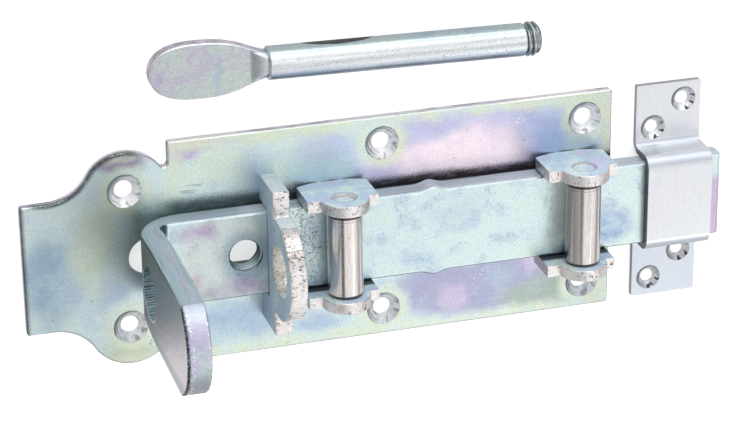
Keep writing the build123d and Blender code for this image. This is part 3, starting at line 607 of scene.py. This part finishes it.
def plated_forging():
    """the turn handle: turned shank, forged flat"""
    m = Mat("plated_forging")
    m.warp(0.12, 8.0)
    x, y, z = m.xyz(m.p)
    nx, ny, nz = m.xyz(m.normal)
    low = m.noise(m.p, 0.075, 4.0, 0.6, offset=(3, 14, 2))
    mid = m.noise(m.p, 0.22, 4.0, 0.7, offset=(5, 4, 2))
    blade = m.remap(x, -OX - 20.0, -OX - 24.0)
    g, gh = grain(m, 1.3, 1.5)
    # shank: pale, with a painted highlight band round its front, darker and cooler along its top
    shank = tone(m, m.ramp(m.add(0.36, m.mul(m.math("SUBTRACT", low, 0.5), 0.8)), FILM), m.remap(low, 0.0, 1.0, 0.62, 0.67))
    long = m.noise(m.vmath("MULTIPLY", m.p, (0.04, 1.0, 1.0)), 0.9, 2.0, 0.5, offset=(2, 6, 1))
    around = m.vmath("DOT_PRODUCT", m.normal, (0.0, 0.913, -0.408))       # 1 along its upper rear side
    wavy = m.add(around, m.mul(m.math("SUBTRACT", long, 0.5), 0.12))
    # painted highlight: a pale band over the shank's front
    shank = m.mix(m.mul(m.remap(wavy, 0.34, 0.26), m.remap(long, 0.35, 0.6, 0.7, 1.0)), shank, srgb(216, 219, 221))
    # painted shade on the shank's lower side
    shank = m.mix(m.mul(m.mul(m.remap(wavy, -0.40, -0.80), m.remap(m.vmath("DOT_PRODUCT", m.normal, (0.0, 0.408, 0.913)), -0.35, 0.05)), 0.65), shank, srgb(170, 182, 202))
    # painted shade: a darker lower edge
    under_edge = m.mul(m.remap(wavy, -0.72, -0.90), m.remap(long, 0.40, 0.55))
    shank = m.mix(m.mul(under_edge, 0.6), shank, srgb(92, 102, 116))
    # a thin painted dark line along the upper edge of the painted highlight band
    line = m.remap(m.math("ABSOLUTE", m.math("SUBTRACT", wavy, 0.37)), 0.05, 0.01)
    shank = m.mix(m.mul(line, 0.55), shank, srgb(128, 132, 144))
    # flat: grey-green and lilac mottling with one blue band across it
    flat = m.ramp(m.add(m.mul(low, 0.5), m.mul(mid, 0.5)),
                  [(0.36, srgb(190, 202, 190)), (0.46, srgb(196, 206, 204)), (0.54, srgb(194, 190, 204)), (0.64, srgb(200, 208, 214))])
    flat = m.mix(m.mul(m.blob(-36.5, 64, 2.4, 12, 0.9, turn=-4), 0.45), flat, srgb(160, 182, 210))
    flat = m.mix(m.mul(m.blob(-55.5, 64, 2.2, 5, 0.9), 0.6), flat, srgb(176, 164, 206))
    # painted shade on the neck, past the crease where the blade bends
    bend = m.mul(m.remap(x, -OX - 25.9, -OX - 25.3), m.remap(nz, 0.2, 0.6))
    flat = m.mix(m.mul(bend, 0.55), flat, srgb(128, 140, 138))
    # painted highlight along the blade's rounded rim
    rimline = m.mul(m.remap(nz, 0.97, 0.90), m.remap(nz, 0.45, 0.60))
    flat = m.mix(m.mul(rimline, 0.9), flat, srgb(252, 252, 254))
    # painted shade: a dark line between the painted rim highlight and the blade's side wall
    under = m.mul(m.remap(nz, 0.62, 0.52), m.mul(m.remap(nz, 0.30, 0.42), m.remap(mid, 0.40, 0.52)))
    flat = m.mix(m.mul(under, 0.7), flat, srgb(78, 72, 82))
    lip = m.remap(m.math("ABSOLUTE", nz), 0.50, 0.30)
    flat = m.mix(m.mul(lip, 0.85), flat, m.ramp(mid, [(0.38, srgb(150, 148, 156)), (0.52, srgb(188, 178, 194)), (0.62, srgb(214, 206, 220))]))
    col = m.mix(blade, shank, flat)
    # dull bottoms of the thread
    axis_y = m.math("ADD", m.mul(m.math("ADD", x, OX + 45.0), math.tan(math.radians(-1.17))), 65.4)
    dy, dz = m.math("SUBTRACT", y, axis_y), m.math("SUBTRACT", z, 5.95)
    radius = m.math("SQRT", m.add(m.mul(dy, dy), m.mul(dz, dz)))
    root = m.mul(m.remap(radius, 5.75, 5.45), m.remap(x, -OX + 68.8, -OX + 69.1))
    col = m.mix(m.mul(root, 0.75), col, srgb(92, 106, 108))
    col = tone(m, col, g)
    turn = m.noise(m.vmath("MULTIPLY", m.p, (0.15, 1.0, 1.0)), 1.4, 2.0, 0.6)
    col = tone(m, col, m.remap(turn, 0.25, 0.75, 0.96, 1.04, smooth=False))
    dark = pits(m, 0.5, 0.24, 0.70)
    col = m.mix(m.mul(dark, 0.6), col, srgb(92, 98, 104))
    # a dark scuff on top of the shank
    arch = m.math("SUBTRACT", 1.0, m.math("POWER", m.math("DIVIDE", m.math("ABSOLUTE", m.math("SUBTRACT", x, 4.6 - OX)), 13.0), 2.0))
    rear = m.vmath("DOT_PRODUCT", m.normal, (0.0, 0.978, -0.208))
    grow = m.add(rear, m.mul(arch, 0.19), m.mul(m.math("SUBTRACT", mid, 0.5), 0.05))
    scuff = m.mul(m.remap(grow, 0.995, 1.03), m.remap(arch, 0.0, 0.12))
    col = m.mix(m.mul(scuff, m.remap(turn, 0.3, 0.7, 0.96, 0.78, smooth=False)), col, srgb(58, 58, 60))
    rough = m.add(m.remap(low, 0.3, 0.7, 0.24, 0.30), m.mul(scuff, 0.3), m.mul(blade, 0.12))
    return m.finish(col, rough, m.add(gh, m.mul(dark, -1.0), m.mul(turn, 0.5)), 0.3, 0.00012)


def polished(name, dull):
    """rollers: turned, glossy, drawn out along their length; with dull at 1 a roller gets painted shade on one side"""
    m = Mat(name)
    x, y, z = m.xyz(m.p)
    low = m.noise(m.vmath("MULTIPLY", m.p, (1.0, 0.08, 1.0)), 0.5, 3.0, 0.6)
    fine = m.noise(m.vmath("MULTIPLY", m.p, (1.0, 0.07, 1.0)), 2.0, 3.0, 0.75)
    col = m.ramp(low, [(0.3, srgb(224, 216, 214)), (0.7, srgb(240, 234, 230))])
    col = tone(m, col, m.remap(fine, 0.32, 0.68, 0.88 - 0.04 * dull, 1.08, smooth=False))
    # a painted dark reflection line along the roller, and, with dull at 1, painted shade on its left side
    crumbs = m.noise(m.p, 1.6, 3.0, 0.8, offset=(2, 9, 4))
    along = m.vmath("DOT_PRODUCT", m.normal, (-0.407, 0.0, 0.914))
    track = m.mul(m.remap(m.add(along, m.mul(m.math("SUBTRACT", crumbs, 0.5), 0.004)), 0.9962, 0.9990), m.remap(crumbs, 0.40, 0.56, 0.35, 0.85))
    col = m.mix(m.mul(track, 1.0 - 0.5 * dull), col, srgb(116, 106, 104))
    # painted shade on the roller's left side, used with dull at 1
    side = m.vmath("DOT_PRODUCT", m.normal, (-0.940, 0.0, 0.342))
    left_side_shade = m.mul(m.remap(m.add(side, m.mul(m.math("SUBTRACT", fine, 0.5), 0.3)), 0.66, 0.92), 0.62 * dull)
    col = m.mix(left_side_shade, col, srgb(124, 120, 122))
    dark = pits(m, 0.8, 0.26, 0.68)
    col = m.mix(m.mul(dark, 0.6), col, srgb(90, 84, 82))
    # painted contact shadow where the roller runs against the noses, with a faint painted dark line just inside it
    nose_shadow = m.math("MAXIMUM", m.remap(y, 13.35, 13.75), m.remap(m.mul(y, -1.0), 14.1, 14.5))
    hair = m.remap(m.math("ABSOLUTE", m.math("SUBTRACT", y, 12.7)), 0.30, 0.08)
    nose_shadow = m.math("MAXIMUM", nose_shadow, m.mul(hair, 0.3))
    col = m.mix(m.mul(nose_shadow, 0.9), col, srgb(44, 42, 44))
    rough = m.add(m.remap(low, 0.3, 0.7, 0.14, 0.21), m.mul(nose_shadow, 0.2))
    return m.finish(col, rough, m.add(m.mul(fine, 0.8), m.mul(dark, -0.8)), 0.14, 0.0001)


mats = {
    "plated_sheet": plated_sheet(),
    "plated_bar": plated_bar(),
    "staple": cut_material("plated_cut_steel", "X"),
    "ear": cut_material("plated_cut_ear", "Y"),
    "plated_strip": plated_strip(),
    "plated_forging": plated_forging(),
    "left_roller": polished("polished_roller", 0.0),
    "right_roller": polished("polished_roller_shaded", 1.0),
}
mats["pin"] = mats["ear"]


def dress(obj, mat):
    if not obj.material_slots:
        obj.data.materials.append(None)
    for s in obj.material_slots:
        s.link = "OBJECT"
        s.material = mat


def mat_for(node):
    if node == "base_plate":
        return mats["plated_sheet"]
    if node == "sliding_bolt":
        return mats["plated_bar"]
    if node == "padlock_staple":
        return mats["staple"]
    if node.endswith("_ear"):
        return mats["ear"]
    if node.endswith("_pin"):
        return mats["pin"]
    if node.endswith("_roller"):
        return mats[node]
    if node == "keeper":
        return mats["plated_strip"]
    return mats["plated_forging"]


for name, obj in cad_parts.items():
    dress(obj, mat_for(name))


# ------------------------------------------------------------------ pieces
def mesh_object(name, verts, faces, mat, body, smooth=True):
    me = bpy.data.meshes.new(name)
    me.from_pydata([tuple(v) for v in verts], [], faces)
    me.validate()
    bm = bmesh.new()
    bm.from_mesh(me)
    bmesh.ops.recalc_face_normals(bm, faces=bm.faces)
    bm.to_mesh(me)
    bm.free()
    for p in me.polygons:
        p.use_smooth = smooth
    ob = bpy.data.objects.new(name, me)
    bpy.context.scene.collection.objects.link(ob)
    me.materials.append(mat)
    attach(ob, body)
    return ob


def thread(name, to_world, r_root, r_crest, pitch, z0, z1, mat, body, n=56, inside=False):
    """a helical ridge; to_world maps (x, y, z) mm with z along the thread's axis"""
    prof = [(-0.46, 0.0), (-0.30, 0.45), (-0.09, 1.0), (0.09, 1.0), (0.30, 0.45), (0.46, 0.0)]
    sink = 0.12 if not inside else -0.12
    turns = (z1 - z0) / pitch
    steps = int(turns * n)
    verts, faces = [], []
    for i in range(steps + 1):
        a = 2 * math.pi * i / n
        zc = z0 + pitch * i / n
        fade = min(1.0, i / (n * 0.22), (steps - i) / (n * 0.22))
        for u, h in prof:
            r = r_root + (r_crest - r_root) * h * max(fade, 0.05)
            if h == 0.0:
                r = r_root - sink
            verts.append(to_world((r * math.cos(a), r * math.sin(a), zc + u * pitch)))
    k = len(prof)
    for i in range(steps):
        for j in range(k):
            a, b = i * k + j, i * k + (j + 1) % k
            faces.append((a, b, b + k, a + k))
    faces.append(tuple(range(k)))
    faces.append(tuple(steps * k + j for j in reversed(range(k))))
    return mesh_object(name, verts, faces, mat, body)


# the handle's thread: handle axis lies along X, turned slightly, on the thread's crests
H_AX, H_AY, H_Z, H_TURN = -45.0, 65.4, 5.95, math.radians(-1.17)


def handle_point(p):
    x, y, z = p[2] - H_AX, p[0], p[1]
    c, s = math.cos(H_TURN), math.sin(H_TURN)
    return row(H_AX + x * c - y * s, H_AY + x * s + y * c, H_Z + z)


thread("handle_thread_ridge", handle_point, 5.1, 5.93, 1.75, 69.6, 73.4, mats["plated_forging"], "base")
thread("bolt_thread_ridge", lambda p: row(-30.0 + p[0], p[1], p[2]), 6.0, 5.2, 1.75, 4.75, 11.3,
       mats["plated_bar"], "bolt", inside=True)


def bead(name, path, r, mat, body, squash=0.7, seed=1.0):
    """an uneven weld bead along a path of mm points"""
    verts, faces = [], []
    n = 14
    for i, p in enumerate(path):
        f = i / (len(path) - 1)
        rr = r * (math.sin(math.pi * min(max(f, 0.04), 0.96)) ** 0.45) * (1 + 0.07 * math.sin(9.0 * f + seed))
        for j in range(n):
            a = 2 * math.pi * j / n
            verts.append(row(p[0], p[1] + rr * math.cos(a), p[2] + rr * squash * math.sin(a)))
    for i in range(len(path) - 1):
        for j in range(n):
            a, b = i * n + j, i * n + (j + 1) % n
            faces.append((a, b, b + n, a + n))
    faces.append(tuple(range(n)))
    faces.append(tuple((len(path) - 1) * n + j for j in reversed(range(n))))
    return mesh_object(name, verts, faces, mat, body)


for side, bx in (("left", 1.9), ("right", 86.6)):
    for end, s in (("top", 1), ("bottom", -1)):
        pts = [(bx - 3.4 + 6.8 * i / 18, s * 19.2, 3.15) for i in range(19)]
        bead(f"{side}_{end}_weld", pts, 0.7, mats["plated_sheet"], "base", seed=bx + s)


# ------------------------------------------------------------------ floor, light, camera
def floor():
    me = bpy.data.meshes.new("floor")
    s = 6.0
    me.from_pydata([(-s, -s, -0.0003), (s, -s, -0.0003), (s, s, -0.0003), (-s, s, -0.0003)], [], [(0, 1, 2, 3)])
    ob = bpy.data.objects.new("floor", me)
    bpy.context.scene.collection.objects.link(ob)
    m = bpy.data.materials.new("pale_floor")
    m.use_nodes = True
    t = m.node_tree
    t.nodes.clear()
    d = t.nodes.new("ShaderNodeBsdfDiffuse")
    d.inputs["Color"].default_value = (0.86, 0.86, 0.86, 1)
    e = t.nodes.new("ShaderNodeEmission")
    e.inputs["Color"].default_value = (1, 1, 1, 1)
    e.inputs["Strength"].default_value = 0.62
    # the table is lit for the eye; the metal sees a much greyer one
    dim = t.nodes.new("ShaderNodeEmission")
    dim.inputs["Color"].default_value = (1, 1, 1, 1)
    dim.inputs["Strength"].default_value = 0.16
    lp = t.nodes.new("ShaderNodeLightPath")
    pick = t.nodes.new("ShaderNodeMixShader")
    t.links.new(lp.outputs["Is Camera Ray"], pick.inputs[0])
    t.links.new(dim.outputs[0], pick.inputs[1])
    t.links.new(e.outputs[0], pick.inputs[2])
    a = t.nodes.new("ShaderNodeAddShader")
    o = t.nodes.new("ShaderNodeOutputMaterial")
    t.links.new(d.outputs[0], a.inputs[0])
    t.links.new(pick.outputs[0], a.inputs[1])
    t.links.new(a.outputs[0], o.inputs["Surface"])
    me.materials.append(m)
    return ob


floor()

world = bpy.data.worlds.new("studio")
bpy.context.scene.world = world
world.use_nodes = True
wt = world.node_tree
wt.nodes.clear()
tc = wt.nodes.new("ShaderNodeTexCoord")


def wnode(kind, **kw):
    n = wt.nodes.new(kind)
    for k, v in kw.items():
        setattr(n, k, v)
    return n


def softbox(direction, inner, outer, strength):
    """a round soft light in the sky: cosine of the angle to a direction, remapped"""
    d = Vector(direction).normalized()
    dot = wnode("ShaderNodeVectorMath", operation="DOT_PRODUCT")
    wt.links.new(tc.outputs["Generated"], dot.inputs[0])
    dot.inputs[1].default_value = d
    mr = wnode("ShaderNodeMapRange", interpolation_type="SMOOTHSTEP", clamp=True)
    wt.links.new(dot.outputs["Value"], mr.inputs["Value"])
    mr.inputs["From Min"].default_value = math.cos(math.radians(outer))
    mr.inputs["From Max"].default_value = math.cos(math.radians(inner))
    mr.inputs["To Min"].default_value = 0.0
    mr.inputs["To Max"].default_value = strength
    return mr.outputs[0]


def wadd(a, b):
    n = wnode("ShaderNodeMath", operation="ADD")
    wt.links.new(a, n.inputs[0])
    if isinstance(b, float):
        n.inputs[1].default_value = b
    else:
        wt.links.new(b, n.inputs[1])
    return n.outputs[0]


sky = softbox((0.28, -0.45, 0.85), 24, 50, 0.78)
sky = wadd(sky, softbox((0.0, 0.0, 1.0), 10, 95, 0.06))
sky = wadd(sky, softbox((0.26, 0.42, 0.87), 8, 30, 1.05))
sky = wadd(sky, softbox((0.1, 0.96, 0.20), 8, 42, 2.8))
sky = wadd(sky, softbox((0.26, -0.96, 0.05), 10, 36, 0.7))
sky = wadd(sky, softbox((-0.82, -0.39, 0.41), 8, 30, 0.50))
sky = wadd(sky, softbox((0.85, -0.40, 0.25), 8, 28, 0.30))
sky = wadd(sky, softbox((-0.69, 0.37, 0.55), 10, 30, 0.75))
sky = wadd(sky, 0.16)
bg = wnode("ShaderNodeBackground")
wt.links.new(sky, bg.inputs["Strength"])
bg.inputs["Color"].default_value = (1.0, 1.0, 1.0, 1)
seen = wnode("ShaderNodeBackground")
seen.inputs["Color"].default_value = (0.98, 0.98, 0.98, 1)
lp = wnode("ShaderNodeLightPath")
mx = wnode("ShaderNodeMixShader")
wt.links.new(lp.outputs["Is Camera Ray"], mx.inputs[0])
wt.links.new(bg.outputs[0], mx.inputs[1])
wt.links.new(seen.outputs[0], mx.inputs[2])
wo = wnode("ShaderNodeOutputWorld")
wt.links.new(mx.outputs[0], wo.inputs["Surface"])


def area(name, loc, target, size, power, color=(1, 1, 1)):
    li = bpy.data.lights.new(name, "AREA")
    li.shape = "RECTANGLE"
    li.size, li.size_y = size
    li.energy = power
    li.color = color
    ob = bpy.data.objects.new(name, li)
    ob.location = loc
    ob.rotation_mode = "QUATERNION"
    ob.rotation_quaternion = (Vector(target) - Vector(loc)).to_track_quat("-Z", "Y")
    bpy.context.scene.collection.objects.link(ob)
    return ob


area("key", (0.55, -0.75, 0.85), (0, 0, 0), (0.5, 0.35), 0.7, (1.0, 0.985, 0.97))

cam_data = bpy.data.cameras.new("camera")
cam_data.sensor_width = 36.0
cam_data.lens = 132.365
cam = bpy.data.objects.new("camera", cam_data)
bpy.context.scene.collection.objects.link(cam)
rot = Matrix(((0.956721, 0.123236, -0.263626), (-0.009683, 0.918885, 0.394407), (0.290847, -0.374785, 0.880309)))
cam.rotation_mode = "QUATERNION"
cam.rotation_quaternion = rot.to_quaternion()
cam.location = (-0.285694, 0.374512, 0.826344)
cam_data.clip_start, cam_data.clip_end = 0.01, 30.0
bpy.context.scene.camera = cam

vs = bpy.context.scene.view_settings
vs.view_transform = "Standard"
vs.look = "None"
vs.exposure = 0.0
vs.gamma = 1.0
